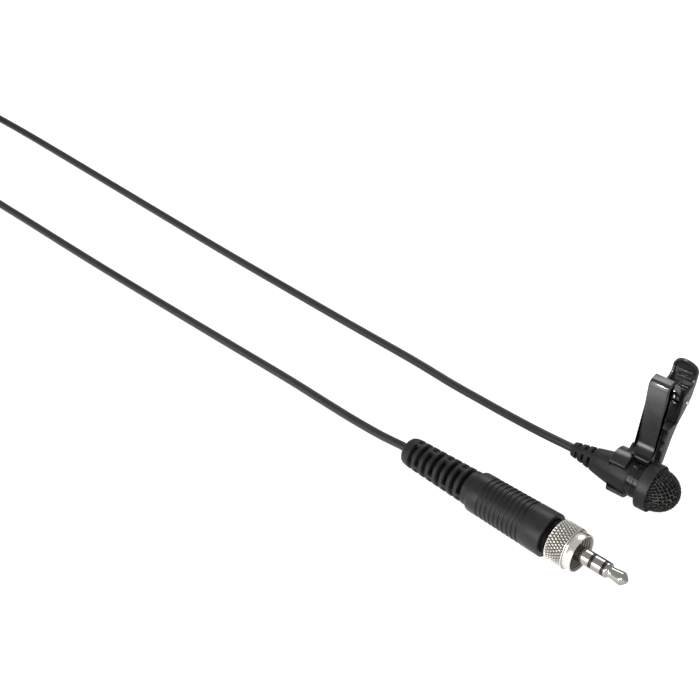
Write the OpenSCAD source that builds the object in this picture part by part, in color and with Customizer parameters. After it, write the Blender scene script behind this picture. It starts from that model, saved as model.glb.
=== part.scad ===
// Lavalier microphone with its tie clip, cable and locking 3.5 mm plug.
// The microphone's axis runs along +X, towards the mesh dome.  +Z is up: the
// clip stands up from the microphone, and everything rests on z = 0.

/* [Cable] */
// Diameter of the cable
cable_d = 2.0; // [1.6:0.1:2.2]
// Turns in the coil that holds the spare cable, half a turn more than a whole number
coil_turns = 16.5; // [12.5:1:16.5]
// Inner radius of the coil, to the middle of the cable
coil_inner_r = 6.2; // [6:0.1:7]
// Distance between neighbouring turns and between layers
coil_pitch = 2.45; // [2.45:0.05:2.6]

/* [Microphone] */
// Outside radius of the collar that carries the mesh
collar_r = 5.5; // [5.4:0.05:5.6]
// Length of the collar
collar_len = 2.75; // [2.6:0.05:2.9]
// Length of the mesh dome in front of the collar
dome_len = 5.45; // [5.2:0.05:5.7]
// Outside radius of the glossy neck ring
neck_r = 4.02; // [3.96:0.02:4.04]
// Outside radius of the rear housing at its front edge, where the clip holds it
housing_r = 4.05; // [4:0.05:4.1]
// Length of the ribbed strain relief behind the housing
mic_relief_len = 5.5; // [5.3:0.1:6]

/* [Clip] */
// Outside radius of the ring that holds the microphone
ring_r = 5.2; // [5.1:0.05:5.2]
// Width of the clip's front arm
arm_w = 4.8; // [4.7:0.1:5]
// Width of the lever and its thumb paddle
lever_w = 6.0; // [5.8:0.1:6.1]
// Thickness of the moulded walls of the clip
wall = 0.6; // [0.5:0.05:0.7]
// Radius of the hinge pin
pin_r = 0.5; // [0.4:0.05:0.55]
// Diameter of the spring's wire
wire_d = 0.4; // [0.3:0.02:0.4]

/* [Connector] */
// Outside radius of the grip at its front end
grip_front_r = 5.1; // [5:0.05:5.2]
// Outside radius of the grip at its rear end
grip_rear_r = 4.7; // [4.65:0.05:4.8]
// Length of the grip
grip_len = 19.8; // [18:0.1:21]
// Length of the slotted strain relief behind the grip
relief_len = 19.8; // [19:0.1:21]
// Outside radius of the locking nut's knurl
nut_r = 4.8; // [4.7:0.05:4.9]
// Radius of the plug
plug_r = 1.75; // [1.7:0.05:1.75]

/* [Hidden] */

// True circles need more than 12 sides; the tools turn them into exact cylinders
$fn = 48;

cable_r = cable_d / 2;

// Where the microphone's axis stands: x = 0 on it lies just inside the collar's back face
mic_x = 5.67;
mic_y = -6.65;
mic_z = collar_r;

// Fit between a part that turns or slides and what it rides on
run_gap = 0.05;

// Stations along the microphone's axis
collar_back_x = -0.4;
collar_front_x = collar_back_x + collar_len;
mesh_seat_x = 0.9;
neck_front_x = -0.75;
neck_back_x = -2.6;
housing_front_x = -3.55;
taper_x = -4.65;
housing_back_x = -13.2;
mic_relief_back_x = housing_back_x - mic_relief_len;

// The dome is a shell of constant thickness with an elliptical outline
mesh_r = collar_r - 0.65;
mesh_t = 0.3;

// Clip: x runs along the hinge, y away from the microphone, z up.  The microphone's axis
// passes through y = 0, z = axis_z.
axis_z = 5.8;
clip_mid_x = -3.35;
ring_back_x = -8.5;
ring_front_x = -3.7;
upper_front_x = -4.5;
lower_back_x = -7.7;
ring_bore_r = housing_r + run_gap;
arm_x0 = clip_mid_x - arm_w / 2;
arm_x1 = clip_mid_x + arm_w / 2;
lever_x0 = clip_mid_x - lever_w / 2;
lever_x1 = clip_mid_x + lever_w / 2;
side_gap = 0.15;
ear_x0 = lever_x0 + wall + side_gap;
ear_x1 = lever_x1 - wall - side_gap;
pin_y = 14.7;
pin_z = 19.3;
pin_stub = 0.45;
// The arm's jaw face leans back by this much for each millimetre of height
jaw_lean = 0.075;
jaw_gap = 0.12;
tooth_h = 0.45;
tooth_pitch = 2.43;

// Connector: x runs along the plug from near the grip's front face, y = z = 0 on its axis
plug_x = -8.8;
plug_y = -25.65;
plug_yaw = -5.1;
grip_tilt = atan((grip_front_r - grip_rear_r) / grip_len);
grip_front_z = grip_front_r * cos(grip_tilt);
relief_back_x = -grip_len - relief_len;
grip_front_x = 0.65;
nut_back_x = 2.05;
knurl_front_x = 6.7;
nut_front_x = 8.6;
shoulder_x = 6.1;
plug_tip_x = 20.1;
sleeve_end_x = 11.25;
ring_back_end_x = 11.95;
ring_front_end_x = 14.25;
tip_back_x = 14.95;

// Coil: centre, and the height of its lowest turns above the floor
coil_x = -253;
coil_y = 6.5;
tie_t = 0.3;
coil_z = tie_t + 0.05 + cable_r;
coil_steps = 24;
coil_layers = 4;
turns_per_layer = coil_turns / coil_layers;
coil_outer_r = coil_inner_r + coil_pitch * turns_per_layer;

// ---------------------------------------------------------------- helpers

// Puts a part on the microphone's frame
module on_mic() { translate([mic_x, mic_y, mic_z]) children(); }

// Puts a part on the clip's frame
module on_clip() { translate([mic_x, mic_y, mic_z - axis_z]) children(); }

// Puts a part on the plug's axis, with the grip lying on the floor along its side
module on_plug() {
    translate([mic_x + plug_x, mic_y + plug_y, grip_front_z])
        rotate([0, -grip_tilt, plug_yaw]) children();
}

// A turned part about the x axis, from an outline of [radius, x] points
module turned(outline) { rotate([0, 90, 0]) rotate_extrude() polygon(outline); }

// A round bar or tube along x
module tube_x(x0, x1, outer, inner = 0) {
    turned([[inner, x0], [outer, x0], [outer, x1], [inner, x1]]);
}

// An outline of [y, z] points carried along x from x0 to x1
module slab(x0, x1, outline) {
    translate([x0, 0, 0]) rotate([90, 0, 90]) linear_extrude(x1 - x0) polygon(outline);
}

// Points on an arc about c, from angle a0 to a1
function arc(c, r, a0, a1, steps) =
    [for (i = [0 : steps]) c + r * [cos(a0 + (a1 - a0) * i / steps), sin(a0 + (a1 - a0) * i / steps)]];

// Points on an ellipse about [0, x0]: radius a across, b along, as [radius, x]
function dome_arc(a, b, x0, steps) =
    [for (i = [0 : steps]) [a * cos(90 * i / steps), x0 + b * sin(90 * i / steps)]];

function flip(list) = [for (i = [len(list) - 1 : -1 : 0]) list[i]];
function unit(v) = v / norm(v);
function path_length(p) = len(p) < 2 ? 0 : sum([for (i = [1 : len(p) - 1]) norm(p[i] - p[i - 1])]);
function sum(v) = [for (i = 0, t = 0; i < len(v); t = t + v[i], i = i + 1) t + v[i]][len(v) - 1];

// One point of a smooth curve that passes through the points of p
function spline_point(a, b, c, d, t) =
    ((2 * b) + (c - a) * t + (2 * a - 5 * b + 4 * c - d) * t * t
        + (3 * b - a - 3 * c + d) * t * t * t) / 2;
function smooth(p, cuts) = concat(
    [for (i = [0 : len(p) - 2], j = [0 : cuts - 1])
        spline_point(p[max(i - 1, 0)], p[i], p[i + 1], p[min(i + 2, len(p) - 1)], j / cuts)],
    [p[len(p) - 1]]);

// Direction of the path at point i
function heading(p, i) = unit(p[min(i + 1, len(p) - 1)] - p[max(i - 1, 0)]);

// A ring of points about point i of the path, one of them straight below it, against `up`
function tube_ring(p, i, r, sides, up) =
    let (t = heading(p, i), s = unit(cross(t, up)), u = cross(s, t))
    [for (k = [0 : sides - 1]) p[i] + r * (sin(360 * k / sides) * s - cos(360 * k / sides) * u)];

// One closed tube along a path, with flat ends
module tube_along(p, r, sides, up = [0, 0, 1]) {
    last = (len(p) - 1) * sides;
    points = [for (i = [0 : len(p) - 1]) each tube_ring(p, i, r, sides, up)];
    walls = [for (i = [0 : len(p) - 2], k = [0 : sides - 1])
        let (a = i * sides + k, b = i * sides + (k + 1) % sides)
        each [[a, b, b + sides], [a, b + sides, a + sides]]];
    start = [for (k = [1 : sides - 2]) [0, k + 1, k]];
    end = [for (k = [1 : sides - 2]) [last, last + k, last + k + 1]];
    polyhedron(points, concat(walls, start, end), convexity = 10);
}

// A half slot across a round strain relief: a flat-bottomed groove with two webs left in it
module relief_slot(x, width, outer, core, web, turn) {
    rotate([turn, 0, 0]) difference() {
        tube_x(x, x + width, outer, core);
        translate([x - 1, -web / 2, -outer - 1]) cube([width + 2, web, 2 * outer + 2]);
    }
}

// ------------------------------------------------------------- microphone

// Radius of the spigot that the mesh basket is pushed onto
spigot_r = 3.9;

module mesh_basket() {
    color("#202022") on_mic() turned(concat(
        [[mesh_r, mesh_seat_x]],
        dome_arc(mesh_r, dome_len, collar_front_x, 18),
        flip(dome_arc(mesh_r - mesh_t, dome_len - mesh_t, collar_front_x, 18)),
        [[mesh_r - mesh_t, mesh_seat_x]]));
}

module basket_collar() {
    bore = spigot_r + run_gap;
    color("#26272a") on_mic() turned([[bore, collar_back_x], [collar_r - 0.25, collar_back_x],
        [collar_r, collar_back_x + 0.25], [collar_r, collar_front_x - 0.2],
        [collar_r - 0.2, collar_front_x], [mesh_r, collar_front_x], [mesh_r, mesh_seat_x],
        [bore, mesh_seat_x]]);
}

module foam_liner() {
    r = mesh_r - mesh_t - 0.1;
    color("#3a3a3c") on_mic() turned(concat(
        [[r, collar_front_x]],
        dome_arc(r, dome_len - 0.5, collar_front_x + 0.1, 10),
        flip(dome_arc(r - 1.2, dome_len - 1.7, collar_front_x + 0.1, 10)),
        [[r - 1.2, collar_front_x]]));
}

// Pressure capsule: a can that is open at the back, with seven sound holes in its face
capsule_r = 2.4;
capsule_face_x = 1.6;
capsule_back_x = -2.6;

module capsule_can() {
    color("silver") on_mic() difference() {
        turned([[0, capsule_face_x], [capsule_r, capsule_face_x], [capsule_r, capsule_back_x],
            [capsule_r - 0.2, capsule_back_x], [capsule_r - 0.2, capsule_face_x - 0.2],
            [0, capsule_face_x - 0.2]]);
        for (a = [0 : 60 : 300]) rotate([a, 0, 0]) translate([capsule_face_x - 1, 0, 1.2])
            rotate([0, 90, 0]) cylinder(h = 2, r = 0.25, $fn = 24);
        translate([capsule_face_x - 1, 0, 0]) rotate([0, 90, 0]) cylinder(h = 2, r = 0.25, $fn = 24);
    }
}

module capsule_diaphragm() {
    x = capsule_face_x - 0.2;
    color("goldenrod") on_mic() turned([[0, x - 0.3], [1.7, x - 0.3], [1.7, x],
        [capsule_r - 0.2, x], [capsule_r - 0.2, x - 0.36], [0, x - 0.36]]);
}

module capsule_backplate() {
    x = capsule_face_x - 0.56;
    color("lightgray") on_mic() difference() {
        tube_x(x - 0.5, x, capsule_r - 0.2);
        for (a = [0 : 90 : 270]) rotate([a, 0, 0]) translate([x - 1, 0, 1.1])
            rotate([0, 90, 0]) cylinder(h = 2, r = 0.2, $fn = 24);
    }
}

module capsule_board() {
    color("darkgreen") on_mic() union() {
        tube_x(capsule_back_x, capsule_back_x + 0.5, capsule_r - 0.2);
        translate([capsule_back_x + 0.5, -0.6, -0.45]) cube([0.7, 1.2, 0.9]);
    }
}

module capsule_gasket() {
    color("#101010") on_mic() tube_x(capsule_back_x, 0.9, 3.0, capsule_r);
}

module neck_ring() {
    color("#2a2b2f") on_mic() turned([[3.0, mesh_seat_x - 0.15], [spigot_r, mesh_seat_x - 0.15],
        [spigot_r, collar_back_x], [3.8, collar_back_x - 0.1], [3.8, neck_front_x],
        [neck_r, neck_front_x], [neck_r, -1.72], [neck_r - 0.12, -1.8], [neck_r - 0.12, -1.92],
        [neck_r, -2.0], [neck_r, neck_back_x], [3.85, neck_back_x], [3.85, housing_front_x],
        [3.4, housing_front_x], [3.4, -7.2], [3.0, -7.2]]);
}

// Outside radius of the housing at x: it narrows ever faster behind its straight front band
relief_front_r = 2.68;
function housing_radius(x) = housing_r - (housing_r - relief_front_r)
    * pow((taper_x - x) / (taper_x - housing_back_x), 1.6);

module rear_housing() {
    color("#232427") on_mic() turned(concat(
        [[1.9, housing_back_x]],
        [for (i = [0 : 10]) let (x = housing_back_x + (taper_x - housing_back_x) * i / 10)
            [housing_radius(x), x]],
        [[housing_r, housing_front_x - 0.2], [housing_r - 0.2, housing_front_x],
            [3.4, housing_front_x], [3.4, -7.4], [1.9, -11.0]]));
}

module mic_strain_relief() {
    back_r = 1.72;
    color("#1e1f21") on_mic() difference() {
        turned([[cable_r, mic_relief_back_x], [back_r - 0.25, mic_relief_back_x],
            [back_r, mic_relief_back_x + 0.25], [relief_front_r, housing_back_x],
            [1.9, housing_back_x], [1.9, -11.0], [cable_r, -11.0]]);
        for (x = [-17.4, -15.7, -14.0]) relief_slot(x, 0.75, 3.2, 1.35, 1.3, 35);
    }
}

module mic_cable_end() {
    color("#2b2c2e") on_mic() tube_x(mic_relief_back_x, -9.6, cable_r);
}

module mic_cable_crimp() {
    color("silver") on_mic() tube_x(-10.9, -9.8, cable_r + 0.35, cable_r);
}

module mic_leads() {
    color("darkred") on_mic() for (a = [0 : 120 : 240]) rotate([a, 0, 0]) translate([-9.6, 0, 0.55])
        rotate([0, 90, 0]) cylinder(h = capsule_back_x + 9.6, r = 0.22, $fn = 24);
}

// ------------------------------------------------------------------- clip

// Position of the arm's jaw face at height z
function jaw_y(z) = 5.1 + (z - 8) * jaw_lean;

// Ring angles are measured in the y-z plane, from +y towards +z
claw_upper_a = 126;
claw_lower_a = 210;

// The ring is thickest where the arm joins it, since its two circles have different centres
module clip_ring() {
    mouth = 9;
    translate([0, 0, axis_z]) difference() {
        translate([0, 0.25, 0.2]) tube_x(ring_back_x, ring_front_x, ring_r);
        // The mouth that the microphone is pushed in through
        slab(ring_back_x - 1, ring_front_x + 1, [[0, 0],
            mouth * [cos(claw_upper_a), sin(claw_upper_a)], [-mouth, mouth], [-mouth, 0],
            mouth * [cos(claw_lower_a), sin(claw_lower_a)]]);
        // The lower claw stands further forward than the upper one
        translate([upper_front_x, -mouth, 0]) cube([mouth, 2 * mouth, mouth]);
        translate([lower_back_x - mouth, -mouth, -mouth]) cube([mouth, 2 * mouth, mouth]);
    }
}

module clip_arm() {
    foot_r = 2.6;
    foot = [1.4, axis_z + ring_r + foot_r + 0.15];
    foot_front = [[1.2, axis_z + 3.95], [1.1, foot[1] - foot_r - 0.3]];
    bend = [6.7, 27.5];
    bend_r = 1.5;
    skin = 0.9;
    arm_outline = concat(
        foot_front,
        arc(foot, foot_r, -90, 0, 6),
        arc(bend, bend_r, 180, 90, 6),
        [[8.4, bend[1] + bend_r], [8.4, bend[1] + bend_r - skin]],
        arc(bend, bend_r - skin, 90, 180, 4),
        [[bend[0] - bend_r + skin, 21.3], [6.75, 20.3], [6.75, 19.6], [jaw_y(19.1), 19.1]],
        [for (z = [18.1 : -1.2 : 9]) each [[jaw_y(z), z + 0.5], [jaw_y(z) - 0.25, z]]],
        [[jaw_y(8), 8], [4.9, 7.6], [4.0, 6.9]]);
    gusset_outline = concat(foot_front, [[3.4, 12.2], [4.4, 12.0], [4.9, 9.5], [4.0, 7.0]]);
    // Each ear is a curved arm from the top bend down to the pin
    ear_outline = concat([[5.9, 28.3], [8.0, 28.4], [9.6, 27.6], [10.9, 26.3], [12.5, 24.0],
        [13.9, 21.7]], arc([pin_y, pin_z], 0.85, 20, -160, 10), [[12.9, 21.0], [11.3, 23.6],
        [9.4, 25.9], [7.8, 26.9], [5.9, 27.2]]);
    color("#1b1c1f") on_clip() difference() {
        union() {
            clip_ring();
            slab(arm_x0, arm_x1, arm_outline);
            slab(arm_x0 - 0.8, arm_x0 + 1, gusset_outline);
            slab(ear_x0, ear_x0 + wall, ear_outline);
            slab(ear_x1 - wall, ear_x1, ear_outline);
        }
        translate([0, 0, axis_z]) tube_x(ring_back_x - 1, arm_x1 + 1, ring_bore_r);
        translate([ear_x0 - 1, pin_y, pin_z]) rotate([0, 90, 0]) cylinder(h = lever_w, r = pin_r);
    }
}

// Side outline of the lever: its back, the rim of its side walls, and the pocket between them
lever_back = [[7.3, 6.8], [9.7, 11.9], [11.8, 15.0], [14.6, 17.1], [17.0, 19.4], [18.3, 22.6],
    [18.8, 25.0], [18.6, 26.6], [18.0, 27.9]];
lever_rim = [[17.3, 27.5], [17.6, 26.3], [17.8, 25.0], [17.3, 23.6], [16.2, 22.7], [13.6, 22.4],
    [12.8, 21.4], [12.5, 19.2], [12.0, 17.8], [10.9, 15.9]];
lever_pocket = [[8, 16.2], [11.7, 16.2], [14.42, 17.5], [16.6, 19.62], [17.75, 22.8], [18.1, 25.0],
    [17.95, 26.5], [17.8, 27.2], [8, 27.2]];

// The jaw block's front face: a row of teeth that close on the arm towards the lower end
function tooth_y(z) = jaw_y(z) + jaw_gap + 0.26 * max(0, z - 11.2);
function lever_jaw() = concat(
    [for (z = [16.25 : -tooth_pitch : 8.5]) each [[tooth_y(z), z],
        [tooth_y(z - tooth_pitch / 2) + tooth_h, z - tooth_pitch / 2]]],
    [[5.7, 6.6]]);

module clip_lever() {
    ridge_w = 3.8;
    paddle_top = 27.9;
    round_r = lever_w / 2;
    deep = 30;
    color("#1d1e21") on_clip() difference() {
        intersection() {
            union() {
                difference() {
                    slab(lever_x0, lever_x1, concat(lever_back, lever_rim, lever_jaw()));
                    slab(lever_x0 + wall, lever_x1 - wall, lever_pocket);
                }
                // Three ridges across the paddle
                for (p = [[17.3, 24.3, 0.95], [17.1, 22.9, 0.8], [16.6, 21.0, 0.7]])
                    translate([clip_mid_x - ridge_w / 2 + 0.3, p[0], p[1]]) rotate([-8, 0, 0])
                        cube([ridge_w, 0.9, p[2]]);
            }
            // Rounded end of the paddle
            translate([0, deep, 0]) rotate([90, 0, 0]) linear_extrude(deep) polygon(concat(
                [[lever_x0 - 1, 0], [lever_x1 + 1, 0], [lever_x1 + 1, paddle_top - round_r - 0.3]],
                arc([clip_mid_x, paddle_top - round_r], round_r, 4, 176, 14),
                [[lever_x0 - 1, paddle_top - round_r - 0.3]]));
        }
        translate([lever_x0 - 1, pin_y, pin_z]) rotate([0, 90, 0])
            cylinder(h = lever_w + 2, r = pin_r + run_gap);
    }
}

module hinge_pin() {
    color("silver") on_clip() translate([0, pin_y, pin_z])
        tube_x(lever_x0 - pin_stub, lever_x1 + pin_stub, pin_r);
}

// Torsion spring: one leg on the arm, the coil round the pin, the other leg on the lever
spring_r = 0.85;
spring_turns = 2;
spring_x0 = -4.45;
spring_pitch = 0.92;
spring_in_a = 230;
spring_out_a = 335;
spring_steps = 8;

function spring_coil(a) = [spring_x0 + spring_pitch * (a - spring_in_a) / 360,
    pin_y + spring_r * cos(a), pin_z + spring_r * sin(a)];

spring_end_a = spring_out_a + 360 * spring_turns;
spring_curls = [for (a = [spring_in_a : 360 / spring_steps : spring_end_a]) spring_coil(a)];
spring_points = concat(
    [for (t = [9.9, 6.6, 3.3]) spring_coil(spring_in_a) + t * [0, sin(spring_in_a), -cos(spring_in_a)]],
    spring_curls,
    [for (t = [0, 0.95, 1.9]) spring_coil(spring_end_a) - t * [0, sin(spring_out_a), -cos(spring_out_a)]]);

// Least distance between the wire's surface and itself, over points half a turn or more apart
spring_gap = min([for (i = [0 : len(spring_curls) - 1 - spring_steps / 2],
    j = [i + spring_steps / 2 : len(spring_curls) - 1]) norm(spring_curls[i] - spring_curls[j])]) - wire_d;

// The wire's loops lie in the y-z plane, so its rings are turned about x
module clip_spring() {
    color("gainsboro") on_clip() tube_along(spring_points, wire_d / 2, 6, [1, 0, 0]);
}

// -------------------------------------------------------------- connector

module plug_tip() {
    color("gold") on_plug() turned([[0, -9.0], [0.45, -9.0], [0.45, tip_back_x],
        [plug_r, tip_back_x], [plug_r, 15.45], [1.22, 15.95], [1.22, 16.5], [1.5, 18.7],
        [1.45, 19.0], [0.6, 19.95], [0.25, plug_tip_x], [0, plug_tip_x]]);
}

module tip_insulator() {
    color("#151515") on_plug() turned([[0.45, -8.0], [0.7, -8.0], [0.7, ring_front_end_x],
        [plug_r - 0.02, ring_front_end_x], [plug_r - 0.02, tip_back_x], [0.45, tip_back_x]]);
}

module plug_ring() {
    color("silver") on_plug() turned([[0.7, -7.0], [1.0, -7.0], [1.0, ring_back_end_x],
        [plug_r, ring_back_end_x], [plug_r, ring_front_end_x], [0.7, ring_front_end_x]]);
}

module ring_insulator() {
    color("#151515") on_plug() turned([[1.0, -6.0], [1.25, -6.0], [1.25, sleeve_end_x],
        [plug_r - 0.02, sleeve_end_x], [plug_r - 0.02, ring_back_end_x], [1.0, ring_back_end_x]]);
}

// Sleeve, shoulder and the flange that keeps the nut on, turned in one piece
hub_r = 2.7;

module plug_sleeve() {
    color("silver") on_plug() turned([[1.25, -5.0], [hub_r, -5.0], [hub_r, 2.75], [3.15, 2.75],
        [3.15, 3.3], [2.45, 3.4], [2.45, shoulder_x - 0.2], [2.25, shoulder_x],
        [plug_r, shoulder_x], [plug_r, sleeve_end_x], [1.25, sleeve_end_x]]);
}

module locking_nut() {
    thread_r = 3.9;
    chamber_r = 3.35;
    thread = [for (x = [nut_front_x - 0.55 : -0.55 : 4.4]) each [[thread_r, x + 0.2], [thread_r - 0.18, x]]];
    color("gainsboro") on_plug() turned(concat(
        [[hub_r + run_gap, nut_back_x], [nut_r - 0.25, nut_back_x], [nut_r, nut_back_x + 0.25],
            [nut_r, knurl_front_x - 0.25], [nut_r - 0.25, knurl_front_x], [4.15, knurl_front_x],
            [4.15, knurl_front_x + 0.25], [4.4, knurl_front_x + 0.3], [4.4, nut_front_x - 0.2],
            [4.2, nut_front_x], [thread_r + 0.25, nut_front_x]],
        thread,
        [[chamber_r, 4.1], [chamber_r, 2.6], [hub_r + run_gap, 2.6]]));
}

// Dark neck in the gap between the grip and the nut
module nut_seat() {
    color("#141414") on_plug() turned([[hub_r, -2.6], [4.05, -2.6], [4.05, 1.6], [3.8, 1.9],
        [hub_r, 1.9]]);
}

groove_count = 10;
groove_pitch = 1.22;

module connector_grip() {
    // Outside radius of the grip at x
    function grip_r(x) = grip_front_r + (grip_front_r - grip_rear_r) * x / grip_len;
    first = -16.3;
    grooves = [for (i = [0 : groove_count - 1])
        let (x = first + groove_pitch * i)
        each [[grip_r(x), x], [grip_r(x) - 0.3, x + 0.08], [grip_r(x) - 0.3, x + 0.62],
            [grip_r(x), x + 0.7]]];
    color("#26272a") on_plug() turned(concat(
        [[cable_r + 0.5, -grip_len], [grip_rear_r - 0.5, -grip_len], [grip_r(-19.3), -19.3]],
        grooves,
        [[grip_r(grip_front_x - 0.12), grip_front_x - 0.12], [grip_front_r - 0.14, grip_front_x],
            [4.05, grip_front_x], [4.05, -2.6], [3.5, -2.6],
            [3.5, -17.0], [cable_r + 0.5, -18.0]]));
}

module connector_core() {
    color("#303030") on_plug() tube_x(-12.0, -2.7, 3.5, hub_r);
}

module plug_leads() {
    color("darkred") on_plug() for (a = [0 : 120 : 240]) rotate([a, 0, 0]) translate([-14.4, 0, 0.75])
        rotate([0, 90, 0]) cylinder(h = 14.4 - 9.0, r = 0.22, $fn = 24);
}

module plug_cable_end() {
    color("#2b2c2e") on_plug() tube_x(relief_back_x, -14.4, cable_r);
}

module plug_cable_crimp() {
    color("silver") on_plug() tube_x(-16.8, -14.9, cable_r + 0.45, cable_r);
}

module connector_strain_relief() {
    back_r = 3.45;
    front_r = 4.05;
    slots = 8;
    slot_pitch = 2.08;
    color("#1e1f21") on_plug() difference() {
        turned([[cable_r, relief_back_x], [back_r - 1.0, relief_back_x],
            [back_r - 0.45, relief_back_x + 0.4], [back_r - 0.12, relief_back_x + 1.4], [back_r, relief_back_x + 2.4],
            [front_r, -grip_len], [cable_r + 0.5, -grip_len], [cable_r + 0.5, -18.2],
            [cable_r, -18.2]]);
        for (i = [0 : slots - 1])
            relief_slot(relief_back_x + 2.6 + slot_pitch * i, 1.15, 5, 2.3, 0.7, 90 * (i % 2));
    }
}

// ------------------------------------------------------------------ cable

// Point a distance x along the plug's axis from the grip's front face
function plug_axis(x) = [mic_x + plug_x, mic_y + plug_y, grip_front_z]
    + x * [cos(grip_tilt) * cos(plug_yaw), cos(grip_tilt) * sin(plug_yaw), sin(grip_tilt)];

// Both runs lead straight out of a strain relief, sink to the floor and end on the coil.
// Points are measured from the microphone's axis, with their height above the floor.
mic_route = [[-28, 0.6, 4.9], [-37, 2.5, 3.3], [-46, 4.4, 1.9], [-56, 5.8, 1.2], [-69, 7.4, 1],
    [-90, 9.0, 1], [-113, 10.9, 1], [-137, 13.0, 1], [-164, 15.7, 1], [-192, 18.6, 1],
    [-222, 21.6, 1], [-240, 22.8, 1.15]];
plug_route = [[-57, -21.2, 3.2], [-66, -19.7, 1.9], [-76, -18.3, 1.2], [-89, -17.0, 1],
    [-111, -15.6, 1], [-135, -14.0, 1], [-160, -12.2, 1], [-188, -9.8, 1], [-203, -9.0, 1.6],
    [-218, -9.1, 4.2], [-233, -9.7, 7.6]];

function from_mic(p) = p + [mic_x, mic_y, 0];

coil_start = from_mic([coil_x, coil_y + coil_outer_r, coil_z]);
coil_finish = from_mic([coil_x, coil_y - coil_outer_r, coil_z + (coil_layers - 1) * coil_pitch]);
mic_exit = [mic_x + mic_relief_back_x, mic_y, mic_z];
plug_exit = plug_axis(relief_back_x);
plug_back = plug_axis(relief_back_x - cable_d) - plug_exit;
straight = [cable_d, 0, 0];

mic_path = concat([mic_exit],
    smooth(concat([mic_exit - straight], [for (p = mic_route) from_mic(p)],
        [coil_start + 2 * straight]), 3),
    [coil_start + straight]);
plug_path = concat([plug_exit],
    smooth(concat([plug_exit + plug_back], [for (p = plug_route) from_mic(p)],
        [coil_finish + 2 * straight]), 3),
    [coil_finish + straight]);

module cable_mic_run() { color("#2b2c2e") tube_along(mic_path, cable_r, 8); }

module cable_plug_run() { color("#2b2c2e") tube_along(plug_path, cable_r, 8); }

// The coil spirals in and out again, layer upon layer.  u counts turns from the start.
// Radius: steady rate, turning back at the end of each layer.
function coil_radius(u) =
    let (layer = floor(u / turns_per_layer), within = u - layer * turns_per_layer)
    layer % 2 == 0 ? coil_outer_r - coil_pitch * within : coil_inner_r + coil_pitch * within;

// Height: one layer up over the half turn about each turning point
function coil_climb(u) = coil_pitch * sum([for (k = [1 : coil_layers - 1])
    min(1, max(0, (u - k * turns_per_layer) / 0.5 + 0.5))]);

function coil_point(u) = from_mic([coil_x + coil_radius(u) * cos(90 + 360 * u),
    coil_y + coil_radius(u) * sin(90 + 360 * u), coil_z + coil_climb(u)]);

coil_count = coil_turns * coil_steps;
coil_path = concat([coil_start + straight],
    [for (i = [0 : coil_count]) coil_point(min(i / coil_steps, coil_turns - 0.0001))],
    [coil_finish + straight]);

// Least distance between the cable's surface and itself, over points half a turn or more apart
coil_gap = min([for (i = [0 : coil_count], j = [i + coil_steps / 2 : coil_count])
    norm(coil_path[i] - coil_path[j])]) - cable_d;

module cable_coil() { color("#2b2c2e") tube_along(coil_path, cable_r, 6); }

module cable_tie() {
    inner = coil_inner_r - cable_r - 0.1;
    outer = coil_outer_r + cable_r + 0.1;
    top = coil_z + (coil_layers - 1) * coil_pitch + cable_r + 0.1;
    width = 3;
    color("#1a1a1a") translate(from_mic([coil_x - outer - tie_t, coil_y - width / 2, 0])) difference() {
        cube([outer - inner + 2 * tie_t, width, top + tie_t]);
        translate([tie_t, -1, tie_t]) cube([outer - inner, width + 2, top - tie_t]);
    }
}

echo(coil_gap_mm = coil_gap);
echo(run_mm = path_length(mic_path), coil_mm = path_length(coil_path), plug_run_mm = path_length(plug_path));
echo(cable_mm = path_length(mic_path) + path_length(coil_path) + path_length(plug_path));
echo(rings = len(mic_path) + len(plug_path), coil_rings = len(coil_path));
echo(spring_gap_mm = spring_gap);

mesh_basket();
basket_collar();
foam_liner();
capsule_can();
capsule_diaphragm();
capsule_backplate();
capsule_board();
capsule_gasket();
neck_ring();
rear_housing();
mic_strain_relief();
mic_leads();
mic_cable_end();
mic_cable_crimp();
clip_arm();
clip_lever();
hinge_pin();
clip_spring();
plug_tip();
tip_insulator();
plug_ring();
ring_insulator();
plug_sleeve();
locking_nut();
nut_seat();
connector_grip();
connector_core();
plug_leads();
plug_cable_crimp();
plug_cable_end();
connector_strain_relief();
cable_mic_run();
cable_coil();
cable_plug_run();
cable_tie();
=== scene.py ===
"""A clip-on microphone: mesh dome, sprung tie clip, thin cable wound in a coil and a locking plug.

Every length in the making of a surface is in millimetres, in the frame of the piece that it is
for.  `on_mic`, `on_clip` and `on_plug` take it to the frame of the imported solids, and `solid`
turns it into metres."""

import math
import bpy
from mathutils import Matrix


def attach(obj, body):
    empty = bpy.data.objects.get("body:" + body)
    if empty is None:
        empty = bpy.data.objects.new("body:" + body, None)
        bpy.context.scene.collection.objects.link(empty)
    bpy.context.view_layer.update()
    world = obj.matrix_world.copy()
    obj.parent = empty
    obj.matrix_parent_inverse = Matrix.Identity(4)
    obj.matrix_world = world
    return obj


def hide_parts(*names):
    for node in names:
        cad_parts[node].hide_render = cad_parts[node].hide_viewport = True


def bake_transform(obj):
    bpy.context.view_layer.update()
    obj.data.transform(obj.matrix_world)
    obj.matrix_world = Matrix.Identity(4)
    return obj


bl_info = {
    "name": "Clip-on Microphone",
    "version": (1, 0, 0),
    "blender": (4, 5, 0),
    "location": "3D View > Sidebar > Microphone",
    "description": "Makes the pieces of a clip-on microphone over its packed solids",
    "category": "Object",
}

import bmesh
import bpy
import numpy as np
from bpy.props import FloatProperty, FloatVectorProperty, IntProperty, PointerProperty

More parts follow.
